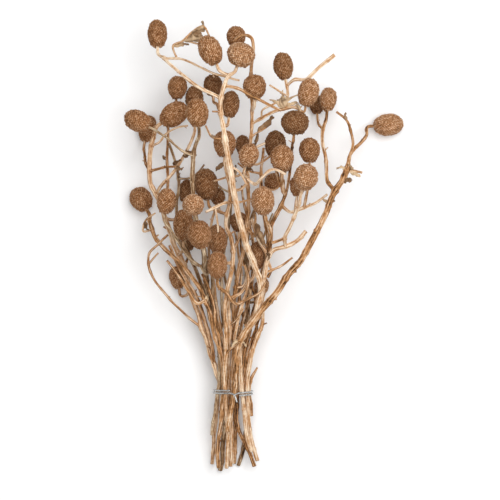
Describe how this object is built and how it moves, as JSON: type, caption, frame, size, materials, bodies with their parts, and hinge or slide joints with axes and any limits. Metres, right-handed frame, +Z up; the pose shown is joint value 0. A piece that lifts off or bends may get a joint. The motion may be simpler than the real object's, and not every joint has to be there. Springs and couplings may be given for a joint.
{
  "type": "bundle of dried globe seed heads",
  "caption": "Wire-tied bundle of dried woody branching stems that carry rough egg-shaped and round seed heads, lying on a table.",
  "frame": {"origin": "middle of the bundle's footprint, on the table it lies on", "axes": "+Y runs up the stems from the cut ends to the heads, +X across the bundle to the right, +Z up from the table"},
  "size_m": [0.2764, 0.4482, 0.1355],
  "materials": {
    "seed_head": "dry, rough, fine spiral of floret tips",
    "stem_tan": "dry, ridged bark, matt",
    "stem_brown": "dry, ridged bark, matt",
    "stem_grey": "dry, ridged bark, matt",
    "tie_wire": "galvanised, satin"
  },
  "bodies": {
    "root": {"seed_head_01": "seed_head", "seed_head_02": "seed_head", "seed_head_03": "seed_head", "seed_head_04": "seed_head", "seed_head_05": "seed_head", "seed_head_06": "seed_head", "seed_head_07": "seed_head", "seed_head_08": "seed_head", "seed_head_09": "seed_head", "seed_head_10": "seed_head", "seed_head_11": "seed_head", "seed_head_12": "seed_head", "seed_head_13": "seed_head", "seed_head_14": "seed_head", "seed_head_15": "seed_head", "seed_head_16": "seed_head", "seed_head_17": "seed_head", "seed_head_18": "seed_head", "seed_head_19": "seed_head", "seed_head_20": "seed_head", "seed_head_21": "seed_head", "seed_head_22": "seed_head", "seed_head_23": "seed_head", "seed_head_24": "seed_head", "seed_head_25": "seed_head", "seed_head_26": "seed_head", "seed_head_27": "seed_head", "seed_head_27b": "seed_head", "seed_head_28": "seed_head", "seed_head_28b": "seed_head", "seed_head_29": "seed_head", "seed_head_30": "seed_head", "seed_head_31": "seed_head", "seed_head_32": "seed_head", "seed_head_33": "seed_head", "seed_head_34": "seed_head", "seed_head_35": "seed_head", "seed_head_36": "seed_head", "seed_head_37": "seed_head", "seed_head_38": "seed_head", "seed_head_39": "seed_head", "seed_head_40": "seed_head", "seed_head_41": "seed_head", "seed_head_42": "seed_head", "stem_back": "stem_grey", "stem_centre_main": "stem_tan", "stem_centre_top": "stem_tan", "stem_front_centre": "stem_tan", "stem_front_left": "stem_tan", "stem_left_grey": "stem_grey", "stem_left_low": "stem_tan", "stem_left_outer": "stem_brown", "stem_left_thin": "stem_grey", "stem_mid_right": "stem_tan", "stem_right_inner": "stem_tan", "stem_right_outer": "stem_tan", "stem_short": "stem_tan", "wire_tie": "tie_wire"}
  },
  "joints": []
}
